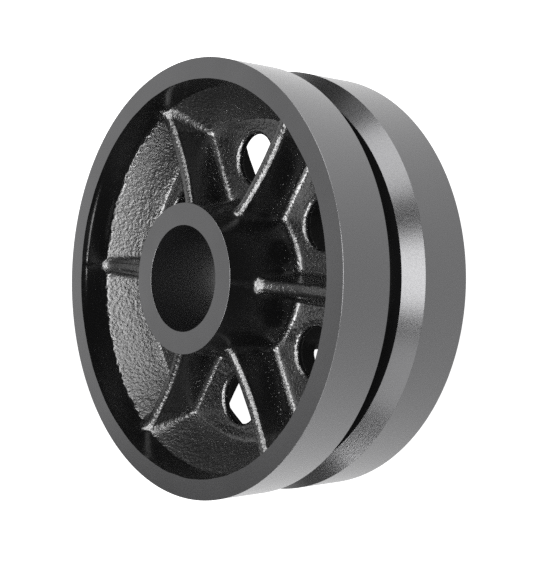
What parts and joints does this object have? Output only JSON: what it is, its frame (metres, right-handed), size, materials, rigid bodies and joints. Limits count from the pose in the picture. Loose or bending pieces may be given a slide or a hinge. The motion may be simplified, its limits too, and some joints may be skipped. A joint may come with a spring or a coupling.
{
  "type": "v-groove wheel",
  "caption": "Cast-iron wheel with a V-groove round its tread, a ribbed web with cored holes and a plain bore, for rolling on angle track.",
  "frame": {"origin": "centre of the wheel, on the axis at the mid-plane of the web", "axes": "+Z along the axis, towards either side, as both are alike; +X along the middle of a rib"},
  "size_m": [0.2032, 0.2032, 0.0826],
  "materials": {
    "wheel": "gloss black paint on the cast inside, bare turned iron on the tread, the V, the rim faces and the hub faces"
  },
  "bodies": {
    "root": {"wheel": "wheel"}
  },
  "joints": []
}
